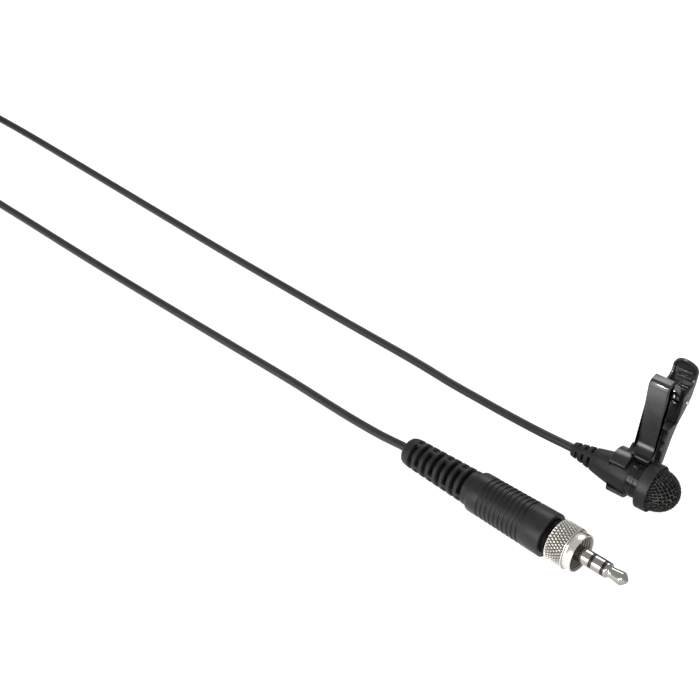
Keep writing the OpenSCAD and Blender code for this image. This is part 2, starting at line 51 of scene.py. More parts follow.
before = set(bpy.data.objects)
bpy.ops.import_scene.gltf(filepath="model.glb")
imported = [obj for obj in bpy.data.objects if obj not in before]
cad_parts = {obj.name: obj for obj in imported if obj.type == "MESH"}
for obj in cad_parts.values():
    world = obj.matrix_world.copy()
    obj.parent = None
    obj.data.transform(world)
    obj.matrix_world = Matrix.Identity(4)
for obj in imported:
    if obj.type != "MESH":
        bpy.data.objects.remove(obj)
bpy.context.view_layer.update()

MM = 0.001
MIC_AXIS = np.array([5.67, -6.65, 5.5])
CLIP_ORIGIN = MIC_AXIS - np.array([0.0, 0.0, 5.8])
GRIP_FRONT_R, GRIP_REAR_R, GRIP_LEN = 5.1, 4.7, 19.8
PLUG_TILT = math.atan((GRIP_FRONT_R - GRIP_REAR_R) / GRIP_LEN)
PLUG_YAW = math.radians(-5.1)
PLUG_ORIGIN = np.array(
    [MIC_AXIS[0] - 8.8, MIC_AXIS[1] - 25.65, GRIP_FRONT_R * math.cos(PLUG_TILT)]
)
PLUG_AXIS = np.array(
    [
        math.cos(PLUG_TILT) * math.cos(PLUG_YAW),
        math.cos(PLUG_TILT) * math.sin(PLUG_YAW),
        math.sin(PLUG_TILT),
    ]
)
PLUG_SIDE = np.array([-math.sin(PLUG_YAW), math.cos(PLUG_YAW), 0.0])
PLUG_TURN = np.stack([PLUG_AXIS, PLUG_SIDE, np.cross(PLUG_AXIS, PLUG_SIDE)])


# ------------------------------------------------------------------ sizes and colours


def length_property(name, description, default):
    """A property that holds a length in metres."""
    return FloatProperty(name=name, description=description, default=default, unit="LENGTH")


def colour_property(name, description, default):
    """A property that holds a colour."""
    return FloatVectorProperty(
        name=name, description=description, default=default, subtype="COLOR"
    )


class CableSizes(bpy.types.PropertyGroup):
    """Sizes of the cable and its coil."""

    radius: length_property("Cable radius", "Radius of the jacket", 0.001)
    turns: FloatProperty(
        name="Turns", description="Turns in the coil of spare cable", default=16.5
    )
    layers: IntProperty(name="Layers", description="Layers in the coil", default=4)


class MicrophoneSizes(bpy.types.PropertyGroup):
    """Sizes of the microphone's mesh."""

    wire_radius: length_property("Mesh wire radius", "Radius of one wire of the mesh", 0.00014)
    wire_pitch: length_property("Mesh pitch", "Distance between neighbouring wires", 0.0009)


class NutSizes(bpy.types.PropertyGroup):
    """Sizes of the locking nut's knurl."""

    knurl_count: IntProperty(
        name="Knurl count", description="Diamonds round the nut", default=40
    )
    knurl_depth: length_property("Knurl depth", "Depth of the knurl", 0.0003)


class FinishColours(bpy.types.PropertyGroup):
    """Colours that a user may change."""

    moulding: colour_property("Mouldings", "Matt black mouldings", (0.011, 0.011, 0.012))
    gloss: colour_property("Clip", "Glossy black clip", (0.008, 0.008, 0.009))
    nickel: colour_property("Nickel", "Plated nut and plug", (0.78, 0.75, 0.7))
    floor: colour_property("Floor", "Floor under the microphone", (0.4, 0.4, 0.4))


# --------------------------------------------------------------------------- surfaces


def soften(corners, radius, steps=4):
    """Rounds a closed outline: each corner P becomes a parabola from a point on the edge before
    it to one on the edge after it, (1-t)^2 A + 2t(1-t) P + t^2 B.  Works on the last two axes."""
    corners = np.asarray(corners, float)
    before = np.roll(corners, 1, -2) - corners
    after = np.roll(corners, -1, -2) - corners
    length_before = np.linalg.norm(before, axis=-1, keepdims=True)
    length_after = np.linalg.norm(after, axis=-1, keepdims=True)
    wanted = np.broadcast_to(np.asarray(radius, float), corners.shape[:-1])[..., None]
    reach = np.minimum(wanted, 0.45 * np.minimum(length_before, length_after))
    first = corners + before / length_before * reach
    last = corners + after / length_after * reach
    t = np.linspace(0, 1, steps + 1)[:, None]
    curve = (
        (1 - t) ** 2 * first[..., None, :]
        + 2 * t * (1 - t) * corners[..., None, :]
        + t**2 * last[..., None, :]
    )
    return curve.reshape(*corners.shape[:-2], -1, corners.shape[-1])


def arc(centre, radius, start, end, steps):
    """Points on a circle about centre, between two angles in degrees."""
    a = np.radians(np.linspace(start, end, steps))
    return np.asarray(centre, float) + radius * np.stack([np.cos(a), np.sin(a)], -1)


def net(rows, columns, wrap=False):
    """Quads that join closed rows of points, as one array of indices; where wrap is set, the last
    row is joined to the first."""
    i = np.arange(rows if wrap else rows - 1)[:, None]
    j = np.arange(columns)[None, :]
    i, j = np.broadcast_arrays(i, j)
    i2, j2 = (i + 1) % rows, (j + 1) % columns
    corners = [i * columns + j, i * columns + j2, i2 * columns + j2, i2 * columns + j]
    return np.stack(corners, -1).reshape(-1, 4)


def around(count):
    """Even angles round a circle, in degrees."""
    return np.linspace(0, 360, count, endpoint=False)


def zigzag(first, second):
    """Points taken in turn from two rows, each given by its two coordinates."""
    rows = [np.stack(np.broadcast_arrays(*row), -1) for row in (first, second)]
    return np.stack(rows, 1).reshape(-1, 2)


def turned(profile, angles=None, radius=None):
    """Turns a closed outline of (x, r) points about x: (x, r cos a, r sin a).  radius, where it
    is given, is a function of x, r and a that says what r becomes."""
    if angles is None:
        angles = around(128)
    a = np.radians(angles)[:, None]
    x, r, a = np.broadcast_arrays(*np.asarray(profile, float).T[:, None], a)
    if radius is not None:
        r = radius(x, r, a)
    points = np.stack([x, r * np.cos(a), r * np.sin(a)], -1).reshape(-1, 3)
    return points, net(*x.shape, wrap=True), []


def prism(outline, x0, x1, edge, steps=4):
    """Carries a closed (y, z) outline from x0 to x1, with its two ends rounded by a quarter
    circle: at angle a the outline is drawn in by edge (1 - sin a), at edge (1 - cos a) from the
    end."""
    outline = np.asarray(outline, float)
    ahead = np.roll(outline, -1, 0)
    along = ahead - outline
    area = np.sum(outline[:, 0] * ahead[:, 1] - outline[:, 1] * ahead[:, 0])
    along /= np.maximum(np.linalg.norm(along, axis=1, keepdims=True), 1e-9)
    normal = np.sign(area) * np.stack([along[:, 1], -along[:, 0]], -1)
    both = normal + np.roll(normal, 1, 0)
    both /= np.maximum(np.linalg.norm(both, axis=1, keepdims=True), 0.5)
    a = np.radians(np.linspace(0, 90, steps + 1))
    inward, forward = edge * (1 - np.sin(a)), edge * (1 - np.cos(a))
    inset = np.concatenate([inward, inward[::-1]])
    x = np.concatenate([x0 + forward, (x1 - forward)[::-1]])
    yz = outline[None] - inset[:, None, None] * both[None]
    return shell(np.concatenate([np.broadcast_to(x[:, None, None], yz.shape[:2] + (1,)), yz], -1))


def shell(sections):
    """Joins closed cross-sections, an array of stations by points by 3, and closes both ends."""
    stations, count = sections.shape[:2]
    caps = [list(range(count)), list(range((stations - 1) * count, stations * count))]
    return sections.reshape(-1, 3), net(stations, count), caps


def tube(path, radius, sides, up=(0, 0, 1)):
    """A tube along a path: rings of points at p + r (sin k s - cos k u), where s is the heading
    crossed with up and u is s crossed with the heading."""
    path = np.asarray(path, float)
    heading = np.gradient(path, axis=0)
    heading /= np.linalg.norm(heading, axis=1, keepdims=True)
    side = np.cross(heading, np.asarray(up, float))
    side /= np.linalg.norm(side, axis=1, keepdims=True)
    over = np.cross(side, heading)
    k = np.linspace(0, 2 * np.pi, sides, endpoint=False)[None, :, None]
    rings = path[:, None] + radius * (np.sin(k) * side[:, None] - np.cos(k) * over[:, None])
    return shell(rings)


def smooth(points, cuts):
    """A curve through the points: the Catmull-Rom cubic between each pair, cut into equal steps."""
    p = np.asarray(points, float)
    a, b, c, d = (np.concatenate([p[:1], p[:-2]]), p[:-1], p[1:], np.concatenate([p[2:], p[-1:]]))
    t = (np.arange(cuts) / cuts)[None, :, None]
    a, b, c, d = (q[:, None] for q in (a, b, c, d))
    square, cube = 2 * a - 5 * b + 4 * c - d, 3 * b - a - 3 * c + d
    curve = (2 * b + (c - a) * t + square * t**2 + cube * t**3) / 2
    return np.concatenate([curve.reshape(-1, p.shape[1]), p[-1:]])


def joined(*parts):
    """Several surfaces as one: their points, quads and caps, renumbered."""
    points, quads, caps, start = [], [], [], 0
    for part_points, part_quads, part_caps in parts:
        points.append(part_points)
        quads.append(part_quads + start)
        caps += [[start + k for k in cap] for cap in part_caps]
        start += len(part_points)
    return np.concatenate(points), np.concatenate(quads), caps


def on_mic(part):
    """Moves a surface from the microphone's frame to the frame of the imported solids."""
    return part[0] + MIC_AXIS, part[1], part[2]


def on_clip(part):
    """Moves a surface from the clip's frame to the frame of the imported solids."""
    return part[0] + CLIP_ORIGIN, part[1], part[2]


def on_plug(part):
    """Turns and moves a surface from the plug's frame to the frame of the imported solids."""
    return part[0] @ PLUG_TURN + PLUG_ORIGIN, part[1], part[2]


def solid(name, part, body, look, replaces, sharp=50):
    """Makes an object from a surface in millimetres, closes its seams, points its faces outwards,
    gives it its material, hands it to the body that it moves with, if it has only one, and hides
    the imported solids that it stands for.  Edges over sharp degrees stay crisp."""
    points, quads, caps = part
    mesh = bpy.data.meshes.new(name)
    mesh.from_pydata((points * MM).tolist(), [], quads.tolist() + caps)
    work = bmesh.new()
    work.from_mesh(mesh)
    bmesh.ops.remove_doubles(work, verts=work.verts, dist=2e-7)
    bmesh.ops.dissolve_degenerate(work, edges=work.edges, dist=1e-7)
    bmesh.ops.recalc_face_normals(work, faces=work.faces)
    work.to_mesh(mesh)
    work.free()
    mesh.polygons.foreach_set("use_smooth", np.ones(len(mesh.polygons), bool))
    mesh.set_sharp_from_angle(angle=math.radians(sharp))
    piece = bpy.data.objects.new(name, mesh)
    bpy.context.scene.collection.objects.link(piece)
    mesh.materials.append(look)
    if body:
        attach(piece, body)
    if replaces:
        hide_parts(*replaces)
    return piece


# -------------------------------------------------------------------------- materials


class Signal:
    """A socket that takes part in arithmetic: each operator adds the Math node that it needs."""

    def __init__(self, look, socket):
        self.look, self.socket = look, socket

    def _with(self, operation, first, second):
        return self.look.add("ShaderNodeMath", {"operation": operation}, {0: first, 1: second})

    def __add__(self, other):
        return self._with("ADD", self, other)

    def __sub__(self, other):
        return self._with("SUBTRACT", self, other)

    def __rsub__(self, other):
        return self._with("SUBTRACT", other, self)

    def __mul__(self, other):
        return self._with("MULTIPLY", self, other)

    def __pow__(self, other):
        return self._with("POWER", self, other)


class Look:
    """A material under construction: one Principled shader and the nodes that feed it."""

    def __init__(self, name, **constants):
        self.material = bpy.data.materials.new(name)
        self.material.use_nodes = True
        self.tree = self.material.node_tree
        self.shader = self.tree.nodes["Principled BSDF"]
        for socket, value in constants.items():
            self.shader.inputs[socket.replace("_", " ")].default_value = value

    def add(self, kind, settings=None, values=None, output=0):
        """Adds a node, sets it up, and fills its sockets with numbers, colours or signals."""
        node = self.tree.nodes.new(kind)
        for key, value in (settings or {}).items():
            setattr(node, key, value)
        for key, value in (values or {}).items():
            if isinstance(value, Signal):
                self.tree.links.new(value.socket, node.inputs[key])
            else:
                node.inputs[key].default_value = value
        return Signal(self, node.outputs[output])

    def feed(self, socket, signal):
        """Links a signal to a socket of the shader."""
        self.tree.links.new(signal.socket, self.shader.inputs[socket])

    def place(self):
        """Object coordinates."""
        return self.add("ShaderNodeTexCoord", output="Object")

    def along(self, direction):
        """Distance of a place along a direction, from the origin."""
        return self.add(
            "ShaderNodeVectorMath",
            {"operation": "DOT_PRODUCT"},
            {0: self.place(), 1: direction},
            "Value",
        )

    def noise(self, size, detail=3.0, stretch=(1, 1, 1), roughness=0.55):
        """Noise with grains of about this size in millimetres, longer where stretch is below 1."""
        where = self.add("ShaderNodeMapping", {}, {"Vector": self.place(), "Scale": stretch})
        return self.add(
            "ShaderNodeTexNoise",
            {},
            {"Vector": where, "Scale": 1000 / size, "Detail": detail, "Roughness": roughness},
        )

    def blend(self, share, first, second):
        """Mixes two colours by a signal."""
        return self.add(
            "ShaderNodeMix",
            {"data_type": "RGBA"},
            {0: share, 6: first, 7: second},
            output=2,
        )

    def range(self, signal, low, high, to_low, to_high):
        """Maps one span of a signal to another, clamped."""
        return self.add(
            "ShaderNodeMapRange",
            {"clamp": True},
            {0: signal, 1: low, 2: high, 3: to_low, 4: to_high},
        )

    def colours(self, signal, low, high, first, second):
        """Feeds Base Color: it goes from the first colour to the second over a span of a signal."""
        share = self.range(signal, low, high, 0.0, 1.0)
        self.feed("Base Color", self.blend(share, first, second))

    def bump(self, height, depth):
        """Feeds Normal with a bump of this height in millimetres."""
        normal = self.add("ShaderNodeBump", {}, {"Height": height, "Distance": depth * MM})
        self.feed("Normal", normal)


def scaled(colour, share):
    """A colour made lighter or darker."""
    return tuple(min(1.0, c * share) for c in colour)


def tinted(colour, share):
    """A colour made lighter or darker, with its alpha."""
    return scaled(colour, share) + (1.0,)


def moulding(name, colour, roughness, grain=0.16, depth=0.008, spread=0.06, gleam=0.3):
    """Moulded plastic or rubber: fine grain in the normal, and slow changes of colour and gloss."""
    look = Look(name, Specular_IOR_Level=gleam)
    slow = look.noise(4.0, 4.0)
    fine = look.noise(grain, 2.0)
    look.colours(slow, 0.3, 0.7, tinted(colour, 0.75), tinted(colour, 1.25))
    uneven = slow + (fine - 0.5) * 0.4
    look.feed("Roughness", look.range(uneven, 0.3, 0.7, roughness - spread, roughness + spread))
    look.bump(fine, depth)
    return look.material


def plated(name, colour, roughness, grain=0.08, depth=0.0015):
    """Plated metal: faint turning marks and slow stains in its gloss."""
    look = Look(name, Metallic=1.0)
    slow = look.noise(2.5, 5.0)
    marks = look.noise(grain, 2.0)
    look.colours(slow, 0.35, 0.7, tinted(colour, 1.0), tinted(colour, 0.78))
    uneven = slow + marks * 0.5
    look.feed("Roughness", look.range(uneven, 0.5, 1.0, roughness * 0.7, roughness * 1.5))
    look.bump(marks, depth)
    return look.material


def knurled_metal(name, colour):
    """Plated metal with painted shade: its colour goes near black in the grooves of the knurl and
    is darkened in the thread, which are also duller.  The distance from the plug's axis is the root
    of the sum of squares of the two coordinates across it."""
    look = Look(name, Metallic=1.0)
    across = []
    for axis in PLUG_TURN[1:]:
        across.append(look.along(axis) - float(axis @ PLUG_ORIGIN) * MM)
    radius = (across[0] * across[0] + across[1] * across[1]) ** 0.5
    # Painted shade: the colour goes near black in the knurl's grooves and is darkened in the
    # thread.
    outside_lip = look.range(radius, 4.44 * MM, 4.5 * MM, 0.0, 1.0)
    knurl_groove_shade = outside_lip * look.range(radius, 4.53 * MM, 4.71 * MM, 1.0, 0.0)
    clear_of_painted_shade = (1 - knurl_groove_shade) * look.range(radius, 4.0 * MM, 4.12 * MM, 0.3, 1.0)
    slow = look.noise(1.5, 4.0)
    look.feed("Base Color", look.blend(clear_of_painted_shade, tinted(colour, 0.05), tinted(colour, 1.15)))
    look.feed("Roughness", look.range(clear_of_painted_shade + (slow - 0.5) * 0.5, 0.0, 1.0, 0.5, 0.2))
    look.bump(look.noise(0.06, 2.0), 0.0012)
    return look.material


def fibrous(name, colour, size, depth):
    """Cloth or foam: clumped noise in the bump, which also darkens the colour in its hollows as
    painted shade.
    """
    look = Look(name, Specular_IOR_Level=0.1, Roughness=0.9)
    clumps_and_hollow_shade = look.noise(size, 5.0, roughness=0.7)
    # Painted shade: the colour darkens where the clumps sink.
    look.colours(clumps_and_hollow_shade, 0.35, 0.65, tinted(colour, 0.4), tinted(colour, 1.5))
    look.bump(clumps_and_hollow_shade, depth)
    return look.material


def jacket(name, colour):
    """Cable jacket: smooth rubber with a faint drawn grain along its length, which also lightens
    the colour in streaks as painted sheen, and dust in patches.
    """
    look = Look(name)
    slow = look.noise(9.0, 4.0)
    drawn_grain_and_sheen = look.noise(0.25, 3.0, (0.15, 1, 1))
    # Painted sheen: the drawn grain lightens the colour in streaks along the length.
    look.colours(slow + drawn_grain_and_sheen * 0.3, 0.5, 0.85, tinted(colour, 0.8), tinted(colour, 1.35))
    look.feed("Roughness", look.range(slow, 0.3, 0.7, 0.42, 0.56))
    look.bump(drawn_grain_and_sheen, 0.01)
    return look.material


def dress(node, look):
    """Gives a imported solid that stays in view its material."""
    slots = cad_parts[node].material_slots
    if not slots:
        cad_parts[node].data.materials.append(look)
    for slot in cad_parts[node].material_slots:
        slot.material = look


# ------------------------------------------------------------------------- microphone

HOUSING_R, HOUSING_FRONT, TAPER, HOUSING_BACK, RELIEF_FRONT_R = 4.05, -3.55, -4.65, -13.2, 2.68
RELIEF_BACK = -18.7
SEAM = 127


def housing_radius(x):
    """Radius of the housing: it narrows by the 1.6th power of the distance from its front band."""
    share = np.clip((TAPER - x) / (TAPER - HOUSING_BACK), 0, 1)
    return HOUSING_R - (HOUSING_R - RELIEF_FRONT_R) * share**1.6


def seam_angles(count):
    """Even angles round a turned piece, with close ones on either side of each seam."""
    even = around(count)
    beside = np.array([-3, -2, -1.2, -0.5, 0, 0.5, 1.2, 2, 3])
    close = (np.array([SEAM, SEAM + 180])[:, None] + beside).ravel() % 360
    return np.unique(np.round(np.concatenate([even, close]), 3))


def seam_height(a, width):
    """Height of a moulding seam: a bell round the seam's two angles."""
    off = (np.degrees(a) - SEAM + 90) % 180 - 90
    return np.exp(-((off / width) ** 2))


def slotted(x, r, a, starts, wide, core, web, turns):
    """Cuts slots in a relief: between each start and start + wide the radius drops to the core,
    apart from two webs on opposite sides, where |r cos(a - turn)| is under half a web."""
    for start, turn in zip(starts, turns):
        inside = np.clip((np.minimum(x - start, start + wide - x) + 0.03) / 0.06, 0, 1)
        away = np.clip((np.abs(r * np.cos(a - math.radians(turn))) - web / 2) / 0.12, 0, 1)
        r = np.where(r > core, r + (core - r) * inside * away, r)
    return r


def slot_stations(x0, x1, starts, wide, step):
    """Stations along a relief: even ones, with two at each side of each slot."""
    sides = np.concatenate([np.array(starts), np.array(starts) + wide])
    close = (sides[:, None] + np.array([-0.03, 0.03])).ravel()
    even = np.arange(x0, x1, step)
    even = even[np.min(np.abs(even[:, None] - close[None]), axis=1) > 0.08]
    return np.sort(np.concatenate([even, close]))


def dome_weave(radius, length, start, pitch, wire, reach):
    """Plain weave pressed into a dome.  Wire i of each set runs at a distance i pitch from the
    middle of the flat cloth; a point at distance s from the middle comes to lie an arc s from the
    tip of the half ellipse.  Wires rise and fall by cos(pi b / pitch), against their neighbours."""
    q = np.linspace(0, math.pi / 2, 400)
    outline = np.stack([start + length * np.cos(q), radius * np.sin(q)], -1)
    outline = np.concatenate([outline, outline[-1] + np.linspace(0.01, 3, 50)[:, None] * [-1, 0]])
    run = np.concatenate([[0], np.cumsum(np.linalg.norm(np.diff(outline, axis=0), axis=1))])
    slope = np.gradient(outline, run, axis=0)
    slope /= np.linalg.norm(slope, axis=1, keepdims=True)
    count = int(reach / pitch)
    i = np.arange(-count, count + 1)[:, None] + 0.5
    i = i[np.abs(i[:, 0] * pitch) < reach - 0.3]
    a = i * pitch
    samples = int(2 * reach / pitch * 5)
    b = np.linspace(-1, 1, samples)[None] * np.sqrt(reach**2 - a**2)
    a = np.broadcast_to(a, b.shape)
    wires = []
    for turn in (0, 1):
        u, v = (a, b) if turn == 0 else (b, a)
        s, around = np.hypot(u, v), np.arctan2(v, u)
        x, r = np.interp(s, run, outline[:, 0]), np.interp(s, run, outline[:, 1])
        dx, dr = np.interp(s, run, slope[:, 0]), np.interp(s, run, slope[:, 1])
        out = np.stack([dr, -dx * np.cos(around), -dx * np.sin(around)], -1)
        rise = 0.42 * wire * 2 * np.cos(math.pi * (b / pitch + i + turn))
        centre = np.stack([x, r * np.cos(around), r * np.sin(around)], -1) + rise[..., None] * out
        heading = np.gradient(centre, axis=1)
        heading /= np.linalg.norm(heading, axis=2, keepdims=True)
        side = np.cross(heading, out)
        side /= np.linalg.norm(side, axis=2, keepdims=True)
        over = np.cross(side, heading)
        k = np.linspace(0, 2 * math.pi, 5, endpoint=False)[:, None]
        across = np.cos(k) * side[:, :, None] + np.sin(k) * over[:, :, None]
        wires += [shell(ring) for ring in centre[:, :, None] + wire * across]
    return joined(*wires)


class MIC_OT_mesh_dome(bpy.types.Operator):
    """Weaves the wire dome over the capsule"""

    bl_idname = "clip_mic.mesh_dome"
    bl_label = "Mesh dome"

    def execute(self, context):
        sizes = context.scene.mic_sizes
        wire = sizes.wire_radius / MM
        look = Look("woven wire", Metallic=0.55, Specular_IOR_Level=0.6)
        slow = look.noise(1.2, 4.0)
        look.colours(slow, 0.35, 0.65, (0.022, 0.021, 0.02, 1), (0.07, 0.067, 0.064, 1))
        look.feed("Roughness", look.range(slow, 0.3, 0.7, 0.35, 0.5))
        mid = 0.7 * 2 * wire
        part = dome_weave(4.85 - mid, 5.45 - mid, 2.35, sizes.wire_pitch / MM, wire, 9.2)
        solid("mesh_dome", on_mic(part), "basket", look.material, ["mesh_basket"], 60)
        return {"FINISHED"}


class MIC_OT_collar(bpy.types.Operator):
    """Turns the mesh collar and the glossy neck ring"""

    bl_idname = "clip_mic.collar"
    bl_label = "Collar and neck"

    def execute(self, context):
        colour = context.scene.finish_colours.moulding
        satin = moulding("satin collar", scaled(colour, 1.9), 0.4, 0.16, 0.012)
        outline = soften(
            [[-0.4, 3.97], [-0.4, 5.5], [2.35, 5.5], [2.35, 5.16], [1.5, 4.91], [0.9, 4.91],
             [0.9, 3.97]],
            [0.05, 0.25, 0.16, 0.08, 0.05, 0.05, 0.05],
        )
        part = on_mic(turned(outline))
        solid("mesh_collar", part, "basket", satin, ["basket_collar"])
        gloss = moulding("glossy neck", scaled(colour, 1.1), 0.16, 0.3, 0.001, 0.04)
        outline = soften(
            [[0.75, 3.0], [0.75, 3.9], [-0.4, 3.9], [-0.5, 3.8], [-0.75, 3.8], [-0.75, 4.02],
             [-1.74, 4.02], [-1.81, 3.91], [-1.91, 3.91], [-1.98, 4.02], [-2.6, 4.02], [-2.6, 3.85],
             [-3.55, 3.85], [-3.55, 3.4], [-7.2, 3.4], [-7.2, 3.0]],
            [0.05, 0.05, 0.02, 0.02, 0.02, 0.14, 0.03, 0.03, 0.03, 0.03, 0.14, 0.05, 0.02, 0.02,
             0.05, 0.05],
        )
        part = on_mic(turned(outline))
        solid("neck_barrel", part, "microphone", gloss, ["neck_ring"])
        return {"FINISHED"}


class MIC_OT_housing(bpy.types.Operator):
    """Turns the rear housing and its slotted strain relief"""

    bl_idname = "clip_mic.housing"
    bl_label = "Housing and relief"

    def execute(self, context):
        colour = context.scene.finish_colours.moulding
        matt = moulding("matt housing", scaled(colour, 1.15), 0.42, 0.16, 0.014)
        stations = np.linspace(HOUSING_BACK, HOUSING_FRONT - 0.22, 44)
        skin = np.stack([stations, housing_radius(stations)], -1)
        outline = np.concatenate([
            [[HOUSING_BACK, 1.9]], skin,
            arc((HOUSING_FRONT - 0.2, HOUSING_R - 0.2), 0.2, 80, 0, 4),
            [[HOUSING_FRONT, 3.4], [-7.4, 3.4], [-11.0, 1.9]],
        ])

        def seamed(x, r, a):
            """Raises the seam along the skin, clear of both ends."""
            return r + 0.05 * seam_height(a, 1.6) * (r > 2.4) * (x < -5) * (x > -13.1)

        part = on_mic(turned(outline, seam_angles(120), seamed))
        solid("rear_shell", part, "microphone", matt, ["rear_housing"], 40)

        rubber = moulding("relief rubber", scaled(colour, 0.95), 0.52, 0.08, 0.006)
        starts, wide = [-17.4, -15.7, -14.0], 0.75
        stations = slot_stations(RELIEF_BACK + 0.3, HOUSING_BACK, starts, wide, 0.15)
        radius = np.interp(stations, [RELIEF_BACK + 0.3, HOUSING_BACK], [1.72, RELIEF_FRONT_R])
        outline = np.concatenate([
            [[RELIEF_BACK, 1.0], [RELIEF_BACK, 1.45], [RELIEF_BACK + 0.08, 1.6]],
            np.stack([stations, radius], -1),
            [[HOUSING_BACK, RELIEF_FRONT_R], [HOUSING_BACK, 1.9], [-11.0, 1.9], [-11.0, 1.0]],
        ])

        def cut(x, r, a):
            """Cuts the slots and raises the seam between the ends."""
            between = (r > 1.5) * (x > RELIEF_BACK + 0.2) * (x < HOUSING_BACK - 0.02)
            cored = slotted(x, r, a, starts, wide, 1.35, 1.3, [35] * 3)
            return cored + 0.04 * seam_height(a, 3) * between

        part = on_mic(turned(outline, seam_angles(144), cut))
        solid(
            "cable_relief", part, "microphone", rubber, ["mic_strain_relief"], 40
        )
        return {"FINISHED"}


# ------------------------------------------------------------------------------- clip

AXIS_Z = 5.8
RING_OUTER_R, RING_INNER_R, FOOT_R = 5.2, 4.1, 2.6
ARM_X = (-5.75, -0.95)
LEVER_X = (-6.35, -0.35)
CLIP_MID = -3.35
JAW_FOOT, JAW_TOP = 8, 19.1
PIN = (14.7, 19.3)
HOOK = (6.7, 27.5)


def jaw_y(z):
    """Position of the arm's jaw face at height z."""
    return 5.1 + (z - JAW_FOOT) * 0.075


def tooth_y(z):
    """Position of the tips of the lever's teeth: they close on the arm towards the lower end."""
    return jaw_y(z) + 0.12 + 0.26 * np.maximum(0, z - 11.2)


def clip_ring():
    """The open ring: an outer circle about a point off the axis, an inner one about the axis, and
    round tips at the mouth.  Its lower half comes 0.8 forward, over a smooth step at its back."""
    outer = arc((0.25, AXIS_Z + 0.2), RING_OUTER_R, 124.5, -148.5, 110)
    inner = arc((0, AXIS_Z), RING_INNER_R, -150, 126, 90)
    outline = np.concatenate([outer, inner])
    points, quads, caps = prism(soften(outline, 0.16, 2), -8.5, -4.5, 0.16)
    share = np.clip((20 - np.degrees(np.arctan2(points[:, 2] - AXIS_Z, points[:, 1]))) / 40, 0, 1)
    points = points + (0.8 * share**2 * (3 - 2 * share))[:, None] * [1, 0, 0]
    return points, quads, caps


class MIC_OT_clip_arm(bpy.types.Operator):
    """Moulds the clip's arm with its ring, foot, toothed face and hinge ears"""

    bl_idname = "clip_mic.clip_arm"
    bl_label = "Clip arm"

    def execute(self, context):
        colour = context.scene.finish_colours.gloss
        gloss = moulding("glossy clip", colour, 0.28, 0.2, 0.0015, 0.04, gleam=0.6)
        foot_z = AXIS_Z + RING_OUTER_R + FOOT_R + 0.15
        back_z = np.linspace(15, 26, 12)
        back_y = np.interp(back_z, [13.95, 18, 23, 27.5], [4.0, 4.45, 4.9, 5.2])
        outline = np.concatenate([
            [[1.1, foot_z - 2.9]],
            arc((1.4, foot_z), FOOT_R, -90, 0, 12),
            np.stack([back_y, back_z], -1),
            arc(HOOK, 1.5, 180, 90, 10),
            [[8.4, 29.0], [8.4, 28.1]],
            arc(HOOK, 0.6, 90, 180, 8),
            [[6.1, 21.3], [6.75, 20.3], [6.75, 19.6], [jaw_y(JAW_TOP) - 0.2, JAW_TOP],
             [jaw_y(JAW_FOOT) - 0.25, JAW_FOOT], [4.7, 7.6]],
            arc((0, AXIS_Z), RING_INNER_R, 17, 73, 12),
        ])
        arm = prism(soften(outline, 0.12, 3), *ARM_X, 0.3)
        heights = np.arange(18.1, 8.9, -1.2)
        pad = np.concatenate([
            [[4.9, 19.4], [jaw_y(JAW_TOP), JAW_TOP]],
            zigzag((jaw_y(heights), heights + 0.5), (jaw_y(heights) - 0.25, heights)),
            [[jaw_y(JAW_FOOT), JAW_FOOT], [4.6, 7.8]],
        ])
        pad = prism(pad, ARM_X[0] + 0.25, ARM_X[1] - 0.25, 0.05, 2)
        gusset = np.concatenate([
            [[1.1, foot_z - 2.85], [2.4, foot_z - 2.3], [3.5, 12.2], [4.3, 11.8], [4.8, 9.5],
             [4.3, 7.6]],
            arc((0, AXIS_Z), 4.12, 20, 73, 10),
        ])
        gusset = prism(soften(gusset, 0.3, 3), ARM_X[0] - 0.8, ARM_X[0] + 1, 0.3)
        ear = np.concatenate([
            [[5.9, 28.2], [8.0, 28.3], [9.6, 27.5], [10.9, 26.2], [12.5, 23.95], [13.85, 21.7]],
            arc(PIN, 0.85, 20, -160, 14),
            [[12.9, 21.0], [11.3, 23.6], [9.4, 25.9], [7.8, 26.9], [5.9, 27.3]],
        ])
        ear = soften(ear, 0.3, 3)
        ears = [prism(ear, x, x + 0.6, 0.1, 3) for x in (LEVER_X[0] + 0.75, LEVER_X[1] - 1.35)]
        part = joined(arm, pad, gusset, clip_ring(), *ears)
        solid("clip_arm_moulding", on_clip(part), "clip", gloss, ["clip_arm"], 45)
        return {"FINISHED"}


